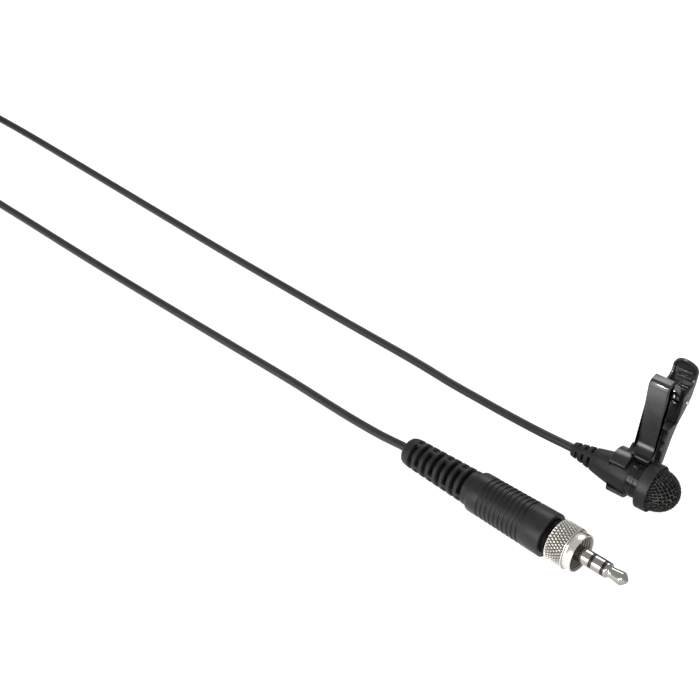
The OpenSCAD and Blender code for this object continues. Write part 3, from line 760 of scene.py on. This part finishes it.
def paddle():
    """The lever above its jaw: at each height a channel-shaped section between the back, the
    pocket's floor and the rim, narrowed at its end to a half circle."""
    top, round_r = 27.9, 3.0
    middle = top - round_r
    rising = np.sin(np.radians(np.linspace(2, 88, 34)))
    z = np.concatenate([np.linspace(15.3, middle, 100), middle + round_r * rising])

    def line(heights, depths):
        """Depth at each height, on straight lines whose corners are blurred over three heights."""
        fine = np.interp(z, heights, depths)
        return np.convolve(np.pad(fine, 1, mode="edge"), np.ones(3) / 3, mode="valid")

    back = line([15.0, 17.1, 19.4, 22.6, 25.0, 26.6, 27.9],
                [11.8, 14.6, 17.0, 18.3, 18.8, 18.6, 18.0])
    floor = line([15.3, 16.2, 17.5, 19.62, 22.8, 25.0, 26.5, 27.9],
                 [10.6, 11.7, 14.42, 16.6, 17.75, 18.1, 17.95, 17.5])
    rim = line([15.3, 15.9, 17.8, 19.2, 21.4, 22.4, 22.8, 23.6, 25.0, 26.3, 27.9],
               [10.5, 10.9, 12.0, 12.5, 12.8, 13.6, 16.2, 17.3, 17.8, 17.6, 17.1])
    half_circle = np.sqrt(np.maximum(round_r**2 - (z - middle) ** 2, 0.02))
    half = np.where(z > middle, half_circle, round_r)
    end = np.clip((z - top + 0.75) / 0.35, 0, 1)
    floor = floor + (rim + 0.05 - floor) * end * end * (3 - 2 * end)
    inner = np.maximum(half - 0.62, half * 0.4)
    x = np.stack([-half, half, half, inner, inner, -inner, -inner, -half], -1)
    y = np.stack([back, back, rim, rim, floor, floor, rim, rim], -1)
    corners = np.stack([x, y], -1)
    section = soften(corners, [0.25, 0.25, 0.12, 0.12, 0.25, 0.25, 0.12, 0.12], 4)
    heights = np.broadcast_to(z[:, None], section.shape[:2])
    return shell(np.stack([section[..., 0] + CLIP_MID, section[..., 1], heights], -1))


class MIC_OT_clip_lever(bpy.types.Operator):
    """Moulds the lever: toothed jaw, channel-shaped back, thumb paddle and its ridges"""

    bl_idname = "clip_mic.clip_lever"
    bl_label = "Clip lever"

    def execute(self, context):
        colour = context.scene.finish_colours.gloss
        satin = moulding("satin lever", scaled(colour, 1.4), 0.28, 0.12, 0.004, gleam=0.4)
        tips = np.arange(16.25, 8.5, -2.43)
        roots = tips - 1.215
        jaw = np.concatenate([
            [[7.3, 6.8], [9.7, 11.9], [11.8, 15.0], [12.4, 15.6], [11.6, 16.0], [10.9, 15.9]],
            zigzag((tooth_y(tips), tips), (tooth_y(roots) + 0.45, roots)),
            [[5.7, 6.6]],
        ])
        jaw = prism(soften(jaw, 0.06, 2), *LEVER_X, 0.1, 3)
        ridges = []
        tilt = math.radians(-8)
        turn = np.array([[math.cos(tilt), math.sin(tilt)], [-math.sin(tilt), math.cos(tilt)]])
        for y, z, rise in ((17.3, 24.3, 0.95), (17.1, 22.9, 0.8), (16.6, 21.0, 0.7)):
            bar = soften([[0, 0], [1.0, 0], [1.0, rise], [0, rise]], 0.2, 3)
            ridges.append(prism(bar @ turn + [y, z], CLIP_MID - 1.6, CLIP_MID + 2.2, 0.15, 3))
        part = joined(jaw, paddle(), *ridges)
        part = on_clip(part)
        solid("clip_lever_moulding", part, "lever", satin, ["clip_lever"], 40)
        return {"FINISHED"}


class MIC_OT_hinge(bpy.types.Operator):
    """Makes the hinge pin with its round ends and the wound spring"""

    bl_idname = "clip_mic.hinge"
    bl_label = "Pin and spring"

    def execute(self, context):
        steel = plated("pin steel", (0.62, 0.62, 0.63), 0.28)
        x0, x1 = LEVER_X[0] - 0.45, LEVER_X[1] + 0.45
        outline = [
            [x0, 0.0], [x0, 0.36], [x0 + 0.14, 0.5], [x1 - 0.14, 0.5], [x1, 0.36], [x1, 0.0],
        ]
        points, quads, caps = turned(outline, around(40))
        pin = points + [0, *PIN], quads, caps
        solid("pin", on_clip(pin), "clip", steel, ["hinge_pin"])

        # Near-black wire: dark steel, and painted shade as well, so that the spring sinks into the
        # shade between the arm and the lever.
        wire = plated("spring wire", (0.02, 0.02, 0.021), 0.4)
        start, end, turns, pitch, reach = 230.0, 335.0, 2, 0.92, 0.85

        def curl(a):
            """A place on the winding at an angle; each turn takes it one pitch along the pin."""
            a = np.asarray(a, float)
            x = -4.45 + pitch * (a - start) / 360
            turn = np.radians(a)
            return np.stack([x, PIN[0] + reach * np.cos(turn), PIN[1] + reach * np.sin(turn)], -1)

        def backwards(a):
            """Heading of the wire at an angle, against the way it is wound."""
            return np.array([0, math.sin(math.radians(a)), -math.cos(math.radians(a))])

        last = end + 360 * turns
        leg_in = curl(start) + np.linspace(9.9, 0.2, 10)[:, None] * backwards(start)
        leg_out = curl(last) - np.linspace(0.2, 1.9, 6)[:, None] * backwards(end)
        path = np.concatenate([leg_in, curl(np.linspace(start, last, 96)), leg_out])
        part = on_clip(tube(path, 0.2, 10, (1, 0, 0)))
        piece = solid("spring", part, None, wire, ["clip_spring"], 60)
        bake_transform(piece)
        return {"FINISHED"}


# -------------------------------------------------------------------------- connector

PLUG_R, RING_R = 1.75, 1.73
KNURL_R = 4.8
RELIEF_END = -39.6

class MIC_OT_plug(bpy.types.Operator):
    """Turns the plug's contacts and the rings of insulation between them"""

    bl_idname = "clip_mic.plug"
    bl_label = "Plug"

    def execute(self, context):
        colour = context.scene.finish_colours.nickel
        nickel = plated("polished nickel", scaled(colour, 0.6), 0.14, 0.05, 0.0008)
        warm = plated("plated brass", (0.62, 0.46, 0.24), 0.25, 0.05, 0.001)
        black = moulding("plug insulation", (0.012, 0.012, 0.012), 0.25, 0.1, 0.002)
        pieces = {
            "contact_tip": (
                [[-9.0, 0], [-9.0, 0.45], [14.95, 0.45], [14.95, PLUG_R], [15.45, PLUG_R],
                 [15.95, 1.22], [16.5, 1.22], [18.7, 1.52], [19.05, 1.45], [19.95, 0.6],
                 [20.1, 0.28], [20.1, 0]],
                [0, 0.02, 0.02, 0.08, 0.15, 0.2, 0.3, 0.3, 0.2, 0.2, 0.1, 0],
                ["plug_tip"], nickel, "plug_metal",
            ),
            "insulation_front": (
                [[-8.0, 0.45], [-8.0, 0.7], [14.25, 0.7], [14.25, RING_R], [14.95, RING_R],
                 [14.95, 0.45]],
                0.02, ["tip_insulator"], black, "insulator_black",
            ),
            "contact_ring": (
                [[-7.0, 0.7], [-7.0, 1.0], [11.95, 1.0], [11.95, PLUG_R], [14.25, PLUG_R],
                 [14.25, 0.7]],
                [0.02, 0.02, 0.02, 0.1, 0.1, 0.02], ["plug_ring"], nickel, "plug_metal",
            ),
            "insulation_back": (
                [[-6.0, 1.0], [-6.0, 1.25], [11.25, 1.25], [11.25, RING_R], [11.95, RING_R],
                 [11.95, 1.0]],
                0.02, ["ring_insulator"], black, "insulator_black",
            ),
            "contact_sleeve": (
                [[6.0, 1.25], [6.0, PLUG_R], [11.25, PLUG_R], [11.25, 1.25]],
                [0.02, 0.02, 0.1, 0.02], [], nickel, "plug_metal",
            ),
            "sleeve_hub": (
                [[-5.0, 1.25], [-5.0, 2.7], [2.75, 2.7], [2.75, 3.15], [3.3, 3.15], [3.4, 2.45],
                 [5.85, 2.45], [6.1, 2.2], [6.1, 1.25]],
                [0.02, 0.02, 0.02, 0.05, 0.05, 0.05, 0.1, 0.1, 0.02],
                ["plug_sleeve"], warm, "plug_metal",
            ),
        }
        for name, (outline, radii, nodes, look, slot) in pieces.items():
            part = on_plug(turned(soften(outline, radii), around(96)))
            solid(name, part, "microphone", look, nodes)
        return {"FINISHED"}


class MIC_OT_nut(bpy.types.Operator):
    """Turns the locking nut, with a diamond knurl and its thread"""

    bl_idname = "clip_mic.nut"
    bl_label = "Locking nut"

    def execute(self, context):
        sizes = context.scene.nut_sizes
        count, depth = sizes.knurl_count, sizes.knurl_depth / MM
        nickel = knurled_metal("knurled nickel", context.scene.finish_colours.nickel)
        knurl_x = np.linspace(2.35, 6.4, 70)
        thread_x = np.arange(8.05, 4.4, -0.55)
        outline = np.concatenate([
            [[2.05, 2.75], [2.05, 4.5], [2.17, 4.68], [2.3, 4.78]],
            np.stack([knurl_x, np.full_like(knurl_x, KNURL_R)], -1),
            [[6.45, 4.78], [6.58, 4.68], [6.7, 4.5], [6.7, 4.18], [6.78, 4.12], [6.92, 4.12],
             [7.0, 4.2], [7.04, 4.36], [7.12, 4.4], [8.35, 4.4], [8.52, 4.36], [8.6, 4.26],
             [8.6, 4.12]],
            zigzag((thread_x + 0.2, 3.9), (thread_x, 3.72)),
            [[4.1, 3.35], [2.6, 3.35], [2.6, 2.75]],
        ])

        def knurled(x, r, a):
            """Two sets of ridges, triangle waves of angle and length, kept where both rise."""
            length = 1.73 * 2 * math.pi * KNURL_R / count
            first = (a * count / (2 * math.pi) + x / length) % 1
            second = (a * count / (2 * math.pi) - x / length) % 1
            height = np.minimum(1 - np.abs(2 * first - 1), 1 - np.abs(2 * second - 1))
            fade = np.clip(np.minimum(x - 2.3, 6.45 - x) / 0.15, 0, 1) * (r > KNURL_R - 0.05)
            return r - depth * fade * (1 - np.clip(height * 1.35, 0, 1))

        part = on_plug(turned(outline, around(count * 8), knurled))
        solid("lock_nut", part, "nut", nickel, ["locking_nut"], 30)
        return {"FINISHED"}


class MIC_OT_grip(bpy.types.Operator):
    """Turns the grooved grip and the seat between it and the nut, which is darker with painted
    shade
    """

    bl_idname = "clip_mic.grip"
    bl_label = "Grip"

    def execute(self, context):
        colour = context.scene.finish_colours.moulding
        matt = moulding("matt grip", scaled(colour, 1.25), 0.4, 0.16, 0.014)

        def radius(x):
            """The grip's side: a straight taper."""
            return GRIP_FRONT_R + (GRIP_FRONT_R - GRIP_REAR_R) * x / GRIP_LEN

        count = 10
        start = -16.3 + 1.22 * np.arange(count)
        groove = np.stack([start, start + 0.08, start + 0.62, start + 0.7], -1)
        drop = np.array([0, 0.3, 0.3, 0])
        grooves = np.stack([groove, radius(groove) - drop], -1).reshape(-1, 2)
        outline = np.concatenate([
            [[-GRIP_LEN, 1.5], [-GRIP_LEN, 4.2], [-19.3, radius(-19.3)]],
            grooves,
            [[0.53, radius(0.53)], [0.65, 4.96], [0.65, 4.05], [-2.6, 4.05], [-2.6, 3.5],
             [-17.0, 3.5], [-18.0, 1.5]],
        ])
        radii = np.concatenate([
            [0.05, 0.2, 0.3],
            np.tile([0.2, 0.03, 0.03, 0.2], count),
            [0.1, 0.1, 0.05, 0.05, 0.05, 0.1, 0.1],
        ])
        part = on_plug(turned(soften(outline, radii, 3)))
        solid("plug_grip", part, "microphone", matt, ["connector_grip"], 40)
        # Painted shade: the seat is darker and duller than the other mouldings, as the shade in the
        # gap between the grip and the nut.
        seat = moulding("seat, painted shade", (0.003, 0.003, 0.003), 0.5, 0.1, 0.002, gleam=0.08)
        outline = soften(
            [[-2.6, 2.7], [-2.6, 4.05], [1.6, 4.05], [1.9, 3.8], [1.9, 2.7]],
            [0.02, 0.05, 0.1, 0.1, 0.02],
            3,
        )
        part = on_plug(turned(outline))
        solid("seat_collar", part, "microphone", seat, ["nut_seat"])
        return {"FINISHED"}


class MIC_OT_plug_relief(bpy.types.Operator):
    """Turns the connector's strain relief and cuts its eight slots"""

    bl_idname = "clip_mic.plug_relief"
    bl_label = "Connector relief"

    def execute(self, context):
        colour = context.scene.finish_colours.moulding
        rubber = moulding("relief moulding", scaled(colour, 0.95), 0.5, 0.08, 0.006)
        end, side = RELIEF_END, RELIEF_END + 2.4
        slots = np.arange(8)
        starts, wide = end + 2.6 + 2.08 * slots, 1.15
        stations = slot_stations(side, -GRIP_LEN - 0.1, starts, wide, 0.25)
        radius = np.interp(stations, [side, -GRIP_LEN], [3.45, 4.05])
        outline = np.concatenate([
            [[end, 1.0], [end, 2.3], [end + 0.12, 2.65], [end + 0.4, 3.0], [end + 0.85, 3.2],
             [end + 1.4, 3.33]],
            np.stack([stations, radius], -1),
            [[-GRIP_LEN, 4.05], [-GRIP_LEN, 1.5], [-18.2, 1.5], [-18.2, 1.0]],
        ])

        def cut(x, r, a):
            """Cuts the slots, with each one's webs a quarter turn from those of the next."""
            return slotted(x, r, a, starts, wide, 2.3, 0.7, 90 * (slots % 2))

        part = on_plug(turned(outline, around(180), cut))
        solid(
            "connector_relief", part, "microphone", rubber,
            ["connector_strain_relief"], 40,
        )
        return {"FINISHED"}


# ------------------------------------------------------------------------------ cable

COIL = np.array([-253.0, 6.5])
COIL_INNER, COIL_PITCH, COIL_FLOOR = 6.2, 2.45, 1.35
MIC_ROUTE = [
    [-28, 0.6, 4.9], [-37, 2.5, 3.3], [-46, 4.4, 1.9], [-56, 5.8, 1.2], [-69, 7.4, 1],
    [-90, 9.0, 1], [-113, 10.9, 1], [-137, 13.0, 1], [-164, 15.7, 1], [-192, 18.6, 1],
    [-222, 21.6, 1], [-240, 22.8, 1.15],
]
PLUG_ROUTE = [
    [-57, -21.2, 3.2], [-66, -19.7, 1.9], [-76, -18.3, 1.2], [-89, -17.0, 1],
    [-111, -15.6, 1], [-135, -14.0, 1], [-160, -12.2, 1], [-188, -9.8, 1], [-203, -9.0, 1.6],
    [-218, -9.1, 4.2], [-233, -9.7, 7.6],
]


def coil_path(turns, layers, steps):
    """The coil spirals in and out again, layer upon layer: the radius changes at a steady rate and
    turns back at the end of each layer, and the height climbs one pitch in the half turn there."""
    per_layer = turns / layers
    outer = COIL_INNER + COIL_PITCH * per_layer
    u = np.linspace(0, turns - 0.0001, int(turns * steps) + 1)
    layer = np.floor(u / per_layer)
    within = u - layer * per_layer
    radius = np.where(layer % 2 == 0, outer - COIL_PITCH * within, COIL_INNER + COIL_PITCH * within)
    turn_points = np.arange(1, layers)[None] * per_layer
    climb = COIL_PITCH * np.clip((u[:, None] - turn_points) / 0.5 + 0.5, 0, 1).sum(1)
    angle = np.radians(90 + 360 * u)
    x, y = COIL + MIC_AXIS[:2]
    x, y = x + radius * np.cos(angle), y + radius * np.sin(angle)
    return np.stack([x, y, COIL_FLOOR + climb], -1)


class MIC_OT_cable(bpy.types.Operator):
    """Lays the cable: from the microphone to the coil, round it, and on to the plug"""

    bl_idname = "clip_mic.cable"
    bl_label = "Cable"

    def execute(self, context):
        sizes = context.scene.cable_sizes
        radius = sizes.radius / MM
        shift = MIC_AXIS * [1, 1, 0]
        straight = np.array([2 * radius, 0, 0])
        coil = coil_path(sizes.turns, sizes.layers, 40)
        mic_exit = MIC_AXIS + [RELIEF_BACK, 0, 0]
        plug_exit = PLUG_ORIGIN + RELIEF_END * PLUG_AXIS
        first, last = (
            smooth(np.concatenate([[leave], np.array(route) + shift, [arrive + 2 * straight]]), 8)
            for leave, route, arrive in (
                (mic_exit - straight, MIC_ROUTE, coil[0]),
                (plug_exit - 2 * radius * PLUG_AXIS, PLUG_ROUTE, coil[-1]),
            )
        )
        path = np.concatenate([
            [mic_exit], first, [coil[0] + straight], coil,
            [coil[-1] + straight], last[::-1], [plug_exit],
        ])
        look = jacket("cable jacket", scaled(context.scene.finish_colours.moulding, 1.2))
        nodes = ["cable_mic_run", "cable_coil", "cable_plug_run"]
        part = tube(path, radius, 12)
        piece = solid("cable", part, "microphone", look, nodes, 60)
        return {"FINISHED"}


class MIC_OT_strap(bpy.types.Operator):
    """Wraps the strap round the coil's turns"""

    bl_idname = "clip_mic.strap"
    bl_label = "Strap"

    def execute(self, context):
        sizes = context.scene.cable_sizes
        jacket_room, strap = 1.1, 0.15
        outer_turn = COIL_INNER + COIL_PITCH * sizes.turns / sizes.layers
        near, far = COIL_INNER - jacket_room - strap, outer_turn + jacket_room + strap
        top = COIL_FLOOR + (sizes.layers - 1) * COIL_PITCH + jacket_room + strap
        loop = soften([[-far, strap], [-near, strap], [-near, top], [-far, top]], 0.9, 6)
        heading = np.roll(loop, -1, 0) - np.roll(loop, 1, 0)
        heading /= np.linalg.norm(heading, axis=1, keepdims=True)
        out = np.stack([heading[:, 1], -heading[:, 0]], -1)
        cross = soften([[-0.14, -1.5], [0.14, -1.5], [0.14, 1.5], [-0.14, 1.5]], 0.1, 3)
        flat = loop[:, None] + out[:, None] * cross[None, :, :1]
        wide = np.broadcast_to(cross[None, :, 1:], flat.shape[:2] + (1,))
        rings = np.concatenate([flat[..., :1], wide, flat[..., 1:]], -1)
        rings = rings + [COIL[0] + MIC_AXIS[0], COIL[1] + MIC_AXIS[1], 0]
        part = rings.reshape(-1, 3), net(*rings.shape[:2], wrap=True), []
        look = fibrous("strap loops", (0.02, 0.02, 0.02), 0.25, 0.05)
        solid("coil_strap", part, "microphone", look, ["cable_tie"])
        return {"FINISHED"}


class MIC_OT_inside(bpy.types.Operator):
    """Gives the pieces inside the microphone and the plug their finishes"""

    bl_idname = "clip_mic.inside"
    bl_label = "Inside pieces"

    def execute(self, context):
        turned_metal = plated("turned aluminium", (0.6, 0.61, 0.62), 0.3)
        crimp = plated("pressed steel", (0.5, 0.5, 0.51), 0.35)
        cable_end = jacket("cable core", (0.03, 0.03, 0.032))
        looks = {
            "foam_liner": fibrous("dark foam", (0.006, 0.006, 0.006), 0.3, 0.08),
            "capsule_can": turned_metal,
            "capsule_backplate": turned_metal,
            "capsule_diaphragm": plated("gold film", (0.75, 0.55, 0.22), 0.2),
            "capsule_board": moulding("green board", (0.01, 0.09, 0.035), 0.4),
            "capsule_gasket": moulding("seal rubber", (0.01, 0.01, 0.01), 0.7),
            "mic_leads": moulding("red insulation", (0.3, 0.015, 0.012), 0.4),
            "plug_leads": moulding("lead insulation", (0.3, 0.015, 0.012), 0.4),
            "mic_cable_crimp": crimp,
            "plug_cable_crimp": crimp,
            "mic_cable_end": cable_end,
            "plug_cable_end": cable_end,
            "connector_core": moulding("moulded core", (0.02, 0.02, 0.02), 0.5),
        }
        for node, look in looks.items():
            dress(node, look)
        return {"FINISHED"}


# ------------------------------------------------------------------------------ stage


class MIC_OT_stage(bpy.types.Operator):
    """Sets the floor, pale and glowing with a painted shadow round the microphone, the soft studio
    light and the camera
    """

    bl_idname = "clip_mic.stage"
    bl_label = "Stage"

    def execute(self, context):
        scene = context.scene
        look = Look("glowing floor, painted shadow", Roughness=0.6, Specular_IOR_Level=0.0, Emission_Strength=2.0)
        slow = look.noise(400.0, 2.0)
        colour = scene.finish_colours.floor
        look.feed("Base Color", look.blend(slow, tinted(colour, 1.0), tinted(colour, 0.985)))
        # Painted light and shadow: the floor glows, evenly to the camera and, to everything else,
        # dimmer near the microphone as a painted shadow.
        seen = look.add("ShaderNodeLightPath", output="Is Camera Ray")
        share = look.range(look.along((-0.35, -0.94, 0)), 0.01, 0.045, 0.1, 0.5)
        floor_glow_with_painted_shadow = look.blend(share, (0, 0, 0, 1), (1, 1, 1, 1))
        look.feed("Emission Color", look.blend(seen, floor_glow_with_painted_shadow, (0.45, 0.45, 0.45, 1)))
        mesh = bpy.data.meshes.new("floor")
        half = 6.0
        corners = [(-half, -half, 0), (half, -half, 0), (half, half, 0), (-half, half, 0)]
        mesh.from_pydata(corners, [], [[0, 1, 2, 3]])
        mesh.materials.append(look.material)
        floor = bpy.data.objects.new("floor", mesh)
        scene.collection.objects.link(floor)

        world = bpy.data.worlds.new("studio")
        world.use_nodes = True
        world.node_tree.nodes["Background"].inputs["Color"].default_value = (1, 1, 1, 1)
        world.node_tree.nodes["Background"].inputs["Strength"].default_value = 0.5
        scene.world = world
        for name, place, target, size, power in (
            ("front", (-0.25, -0.75, 0.2), (0, 0, 0), 0.4, 3.0),
            ("right", (0.55, -0.5, 0.3), (0, 0, 0), 0.2, 3.0),
            ("back", (-0.3, 0.65, 0.65), (0, 0, 0), 0.4, 2.4),
            ("card", (-0.004, -0.0188, 0.0165), (0.0023, -0.00175, 0.0225), 0.024, 0.0015),
            ("clip", (-0.071, -0.178, 0.24), (0.0025, 0.0114, 0.0247), 0.012, 16.0),
        ):
            lamp = bpy.data.lights.new(name, "SPOT" if name == "clip" else "AREA")
            lamp.energy = power
            if name == "clip":
                lamp.spot_size, lamp.spot_blend = math.radians(2.8), 0.5
                lamp.shadow_soft_size = size
            else:
                lamp.size = size
            if name == "card":
                lamp.shape, lamp.size_y = "RECTANGLE", 0.006
            light = bpy.data.objects.new(name, lamp)
            light.location = place
            away = np.array(place) - np.array(target)
            flat = math.hypot(away[0], away[1])
            light.rotation_euler = (math.atan2(flat, away[2]), 0, math.atan2(away[0], -away[1]))
            scene.collection.objects.link(light)

        lens = bpy.data.cameras.new("camera")
        lens.sensor_width, lens.lens = 36.0, 78.69
        lens.clip_start, lens.clip_end = 0.01, 20
        camera = bpy.data.objects.new("camera", lens)
        eye = MIC_AXIS * [1, 1, 0] + [99.28, -229.42, 237.3]
        camera.location = (eye * MM).tolist()
        camera.rotation_euler = (math.radians(90 - 38.8), 0, math.radians(38.4))
        scene.collection.objects.link(camera)
        scene.camera = camera
        scene.view_settings.view_transform = "Standard"
        return {"FINISHED"}


class MIC_PT_pieces(bpy.types.Panel):
    """Lists the pieces and their sizes"""

    bl_label = "Clip-on microphone"
    bl_idname = "MIC_PT_pieces"
    bl_space_type = "VIEW_3D"
    bl_region_type = "UI"
    bl_category = "Microphone"

    def draw(self, context):
        for group in ("cable_sizes", "mic_sizes", "nut_sizes", "finish_colours"):
            sizes = getattr(context.scene, group)
            for name in sizes.__annotations__:
                self.layout.prop(sizes, name)
        for operator in PIECES:
            self.layout.operator(operator.bl_idname)


GROUPS = {
    "cable_sizes": CableSizes,
    "mic_sizes": MicrophoneSizes,
    "nut_sizes": NutSizes,
    "finish_colours": FinishColours,
}
PIECES = [
    MIC_OT_stage, MIC_OT_strap, MIC_OT_plug_relief, MIC_OT_grip, MIC_OT_nut, MIC_OT_plug,
    MIC_OT_cable, MIC_OT_mesh_dome, MIC_OT_collar, MIC_OT_housing, MIC_OT_clip_arm,
    MIC_OT_clip_lever, MIC_OT_hinge, MIC_OT_inside,
]


def register():
    for group in GROUPS.values():
        bpy.utils.register_class(group)
    for piece in PIECES + [MIC_PT_pieces]:
        bpy.utils.register_class(piece)
    for name, group in GROUPS.items():
        setattr(bpy.types.Scene, name, PointerProperty(type=group))


def unregister():
    for name in GROUPS:
        delattr(bpy.types.Scene, name)
    for piece in [MIC_PT_pieces] + PIECES[::-1]:
        bpy.utils.unregister_class(piece)
    for group in GROUPS.values():
        bpy.utils.unregister_class(group)


def main():
    register()
    for piece in PIECES:
        family, name = piece.bl_idname.split(".")
        getattr(getattr(bpy.ops, family), name)()


if __name__ == "__main__":
    main()
